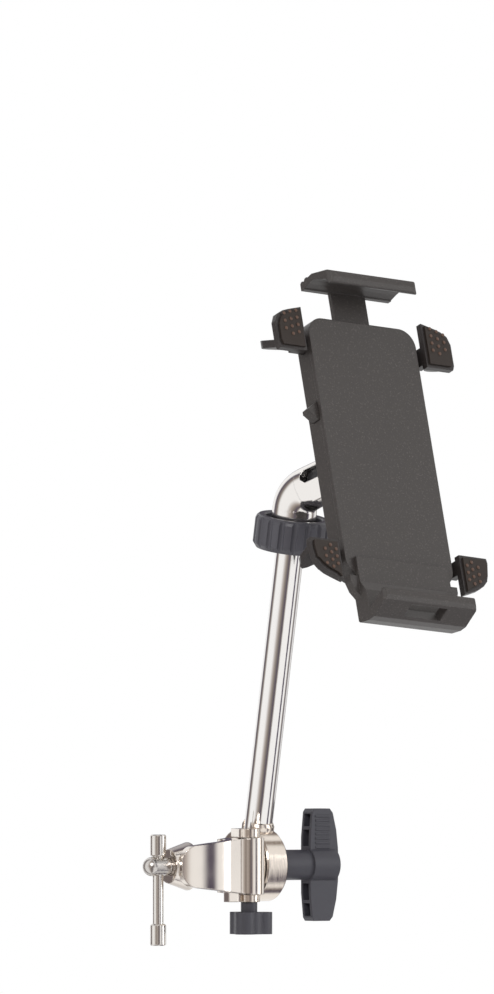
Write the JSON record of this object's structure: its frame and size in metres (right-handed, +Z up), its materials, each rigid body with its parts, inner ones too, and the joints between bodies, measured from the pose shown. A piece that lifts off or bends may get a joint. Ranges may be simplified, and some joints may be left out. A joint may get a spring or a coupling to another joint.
{
  "type": "device holder",
  "caption": "Clamp-on holder with a swivelling disc joint, plated arm, ball-jointed elbow and an adjustable cradle for a slim hand-held device.",
  "frame": {"origin": "axis of the clamped tube at the height of the clamp screw", "axes": "+Z up along the clamped tube, +X along the clamp screw and the disc joint towards the winged knob, -Y to the front"},
  "size_m": [0.12, 0.14, 0.2855],
  "materials": {
    "plated_casting": "nickel plated, polished",
    "plated_tube": "nickel plated, drawn",
    "steel": "zinc plated",
    "knob_plastic": "satin moulded",
    "cradle_plastic": "fine moulded texture",
    "socket_metal": "dark satin",
    "ball_plastic": "smooth",
    "gear_plastic": "natural",
    "jaw_rubber": "soft, matt",
    "pad_rubber": "soft, dotted"
  },
  "bodies": {
    "clamp": {"clamp_body": "plated_casting"},
    "jaw": {"jaw_foot": "steel", "jaw_rubber": "jaw_rubber"},
    "screw": {"clamp_screw": "steel"},
    "t_bar": {"t_bar": "steel", "t_bar_caps": "steel"},
    "knuckle": {"swivel_knuckle": "plated_casting", "swivel_bolt": "steel", "pivot_bolt": "steel"},
    "lock_knob": {"lock_knob": "knob_plastic"},
    "arm_knob": {"arm_knob": "knob_plastic"},
    "arm": {"arm_eye": "plated_casting", "arm_tube": "plated_tube", "friction_washer": "socket_metal", "socket_sleeve": "socket_metal"},
    "ring_nut": {"ring_nut": "knob_plastic"},
    "elbow": {"elbow": "plated_tube"},
    "ball_stud": {"ball_stud": "ball_plastic"},
    "cradle": {"rear_shell": "cradle_plastic", "front_plate": "cradle_plastic", "shell_screws": "steel", "stud_retainer": "cradle_plastic", "bottom_tray": "cradle_plastic"},
    "left_side": {"left_arm": "cradle_plastic", "left_pads": "pad_rubber"},
    "right_side": {"right_arm": "cradle_plastic", "right_pads": "pad_rubber"},
    "pinion": {"pinion": "gear_plastic"},
    "top_clip": {"top_clip": "cradle_plastic"},
    "release_button": {"release_button": "cradle_plastic"}
  },
  "joints": [
    {"name": "jaw_slide", "type": "slide", "parent": "clamp", "child": "jaw", "axis": [1, 0, 0], "range_m": [-0.0025, 0.0012]},
    {"name": "screw_turn", "type": "hinge", "parent": "jaw", "child": "screw", "pos_m": [-0.02, 0, 0], "axis": [1, 0, 0], "range_deg": [-715, 340]},
    {"name": "t_bar_slide", "type": "slide", "parent": "screw", "child": "t_bar", "axis": [0, 0, 1], "range_m": [0, 0.0196]},
    {"name": "knuckle_swivel", "type": "hinge", "parent": "clamp", "child": "knuckle", "pos_m": [0.0153, -0.01, 0], "axis": [0, 0, 1], "range_deg": [-100, 12]},
    {"name": "lock_knob_turn", "type": "hinge", "parent": "knuckle", "child": "lock_knob", "pos_m": [0.0153, -0.01, -0.022], "axis": [0, 0, 1], "range_deg": [-360, 90]},
    {"name": "arm_knob_turn", "type": "hinge", "parent": "knuckle", "child": "arm_knob", "pos_m": [0.045, 0.005, 0], "axis": [1, 0, 0], "range_deg": [-90, 360]},
    {"name": "arm_tilt", "type": "hinge", "parent": "knuckle", "child": "arm", "pos_m": [0.03, 0.005, 0], "axis": [1, 0, 0], "range_deg": [-100, 90]},
    {"name": "ring_nut_turn", "type": "hinge", "parent": "arm", "child": "ring_nut", "pos_m": [0.0303, -0.02018, 0.14082], "axis": [0, -0.2028, 0.9792], "range_deg": [-330, 20]},
    {"name": "elbow_turn", "type": "hinge", "parent": "arm", "child": "elbow", "pos_m": [0.0303, -0.02018, 0.14082], "axis": [0, -0.2028, 0.9792], "continuous": true},
    {"name": "ball_tilt", "type": "hinge", "parent": "elbow", "child": "ball_stud", "pos_m": [0.03586, -0.03696, 0.16309], "axis": [0.9947, 0.0411, -0.094], "range_deg": [-20, 20]},
    {"name": "cradle_spin", "type": "hinge", "parent": "ball_stud", "child": "cradle", "pos_m": [0.03586, -0.03696, 0.16309], "axis": [0.073, -0.9275, 0.3665], "continuous": true},
    {"name": "left_arm_slide", "type": "slide", "parent": "cradle", "child": "left_side", "axis": [-0.9947, -0.0411, 0.094], "range_m": [-0.003, 0.009]},
    {"name": "right_arm_slide", "type": "slide", "parent": "cradle", "child": "right_side", "axis": [0.9947, 0.0411, -0.094], "range_m": [-0.003, 0.009]},
    {"name": "pinion_turn", "type": "hinge", "parent": "cradle", "child": "pinion", "pos_m": [0.03679, -0.07977, 0.15427], "axis": [0.073, -0.9275, 0.3665], "range_deg": [-33, 97]},
    {"name": "top_clip_slide", "type": "slide", "parent": "cradle", "child": "top_clip", "axis": [0.0721, 0.3714, 0.9257], "range_m": [-0.009, 0.025]},
    {"name": "button_press", "type": "slide", "parent": "cradle", "child": "release_button", "axis": [0.9947, 0.0411, -0.094], "range_m": [0, 0.0012], "stiffness_N_per_m": 400}
  ],
  "couplings": [
    {"joint": "jaw_slide", "follows": "screw_turn", "m_per_rad": 0.00019894},
    {"joint": "right_arm_slide", "follows": "left_arm_slide", "ratio": 1},
    {"joint": "pinion_turn", "follows": "left_arm_slide", "rad_per_m": 185.19}
  ]
}
